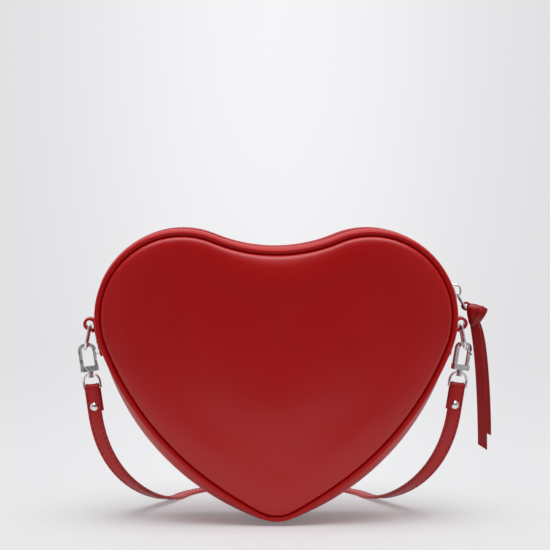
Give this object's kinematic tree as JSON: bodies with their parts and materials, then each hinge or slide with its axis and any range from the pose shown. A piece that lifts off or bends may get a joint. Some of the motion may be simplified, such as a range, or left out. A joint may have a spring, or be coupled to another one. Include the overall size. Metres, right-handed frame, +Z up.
{
  "type": "heart shaped purse",
  "caption": "Padded leather purse in the shape of a heart, with a crowned gusset, a zip over the top and a flat strap on swivel snap clasps",
  "frame": {"origin": "under the tip of the heart, on the surface that the purse stands on, midway between front and back", "axes": "+X to the right and +Y to the back as seen from the front, +Z up"},
  "size_m": [0.2411, 0.1523, 0.1715],
  "materials": {
    "red_leather": "smooth, satin sheen",
    "polished_metal": "polished",
    "spring_steel": "plain",
    "padding": "soft foam",
    "lining_cloth": "woven, matt",
    "zip_tape": "woven, matt",
    "zip_teeth": "moulded"
  },
  "bodies": {
    "bag": {"back_foam": "padding", "back_lining": "lining_cloth", "back_panel": "red_leather", "back_piping": "red_leather", "back_zip_gusset": "red_leather", "back_zip_tape": "zip_tape", "back_zip_teeth": "zip_teeth", "front_foam": "padding", "front_lining": "lining_cloth", "front_panel": "red_leather", "front_piping": "red_leather", "front_zip_gusset": "red_leather", "front_zip_tape": "zip_tape", "front_zip_teeth": "zip_teeth", "gusset_lining": "lining_cloth", "left_tab": "red_leather", "lower_gusset": "red_leather", "right_tab": "red_leather", "strap": "red_leather", "zip_stops": "zip_teeth"},
    "left_ring_body": {"left_d_ring": "polished_metal"},
    "left_clasp_body": {"left_clasp_frame": "polished_metal", "left_gate_pin": "polished_metal", "left_swivel_stud": "polished_metal", "left_gate_spring": "spring_steel"},
    "left_gate_body": {"left_gate": "polished_metal"},
    "left_eye_body": {"left_eye": "polished_metal", "left_strap_end": "red_leather", "left_rivet": "polished_metal"},
    "right_ring_body": {"right_d_ring": "polished_metal"},
    "right_clasp_body": {"right_clasp_frame": "polished_metal", "right_gate_pin": "polished_metal", "right_swivel_stud": "polished_metal", "right_gate_spring": "spring_steel"},
    "right_gate_body": {"right_gate": "polished_metal"},
    "right_eye_body": {"right_eye": "polished_metal", "right_strap_end": "red_leather", "right_rivet": "polished_metal"},
    "slider": {"slider_body": "polished_metal", "slider_bail": "polished_metal"},
    "link": {"pull_link": "polished_metal"},
    "thong": {"pull_thong": "red_leather"}
  },
  "joints": [
    {"name": "left_ring_swing", "type": "hinge", "parent": "bag", "child": "left_ring_body", "pos_m": [-0.10845, 0, 0.11445], "axis": [0, 1, 0], "range_deg": [-3, 70], "deforming": ["strap"]},
    {"name": "left_clasp_swing", "type": "hinge", "parent": "left_ring_body", "child": "left_clasp_body", "pos_m": [-0.11068, 0, 0.10295], "axis": [0.9902, 0, 0.1396], "range_deg": [-30, 30], "deforming": ["strap"]},
    {"name": "left_gate_press", "type": "hinge", "parent": "left_clasp_body", "child": "left_gate_body", "pos_m": [-0.10482, 0, 0.09005], "axis": [0, -1, 0], "range_deg": [0, 18], "stiffness_Nm_per_rad": 0.02, "deforming": ["left_gate_spring"]},
    {"name": "left_eye_swivel", "type": "hinge", "parent": "left_clasp_body", "child": "left_eye_body", "pos_m": [-0.11068, 0, 0.10295], "axis": [-0.1396, 0, 0.9902], "continuous": true, "deforming": ["strap"]},
    {"name": "right_ring_swing", "type": "hinge", "parent": "bag", "child": "right_ring_body", "pos_m": [0.10845, 0, 0.11445], "axis": [0, -1, 0], "range_deg": [-3, 70], "deforming": ["strap", "pull_thong"]},
    {"name": "right_clasp_swing", "type": "hinge", "parent": "right_ring_body", "child": "right_clasp_body", "pos_m": [0.11061, 0, 0.10331], "axis": [0.8951, 0.4226, -0.1421], "range_deg": [-20, 30], "deforming": ["strap", "pull_thong"]},
    {"name": "right_gate_press", "type": "hinge", "parent": "right_clasp_body", "child": "right_gate_body", "pos_m": [0.11206, 0.00169, 0.08931], "axis": [0.4174, -0.9063, -0.0663], "range_deg": [0, 18], "stiffness_Nm_per_rad": 0.02, "deforming": ["right_gate_spring"]},
    {"name": "right_eye_swivel", "type": "hinge", "parent": "right_clasp_body", "child": "right_eye_body", "pos_m": [0.11061, 0, 0.10331], "axis": [0.1568, 0, 0.9876], "continuous": true, "deforming": ["strap", "pull_thong"]},
    {"name": "zip_slide", "type": "hinge", "parent": "bag", "child": "slider", "pos_m": [0.0544, 0, 0.1208], "axis": [0, -1, 0], "range_deg": [0, 92], "deforming": ["front_zip_teeth", "back_zip_teeth"]},
    {"name": "pull_link_swing", "type": "hinge", "parent": "slider", "child": "link", "pos_m": [0.10617, 0, 0.13276], "axis": [0, -1, 0], "range_deg": [-4, 100]},
    {"name": "pull_thong_swing", "type": "hinge", "parent": "link", "child": "thong", "pos_m": [0.11067, 0, 0.12496], "axis": [0, -1, 0], "range_deg": [-1, 60]}
  ]
}
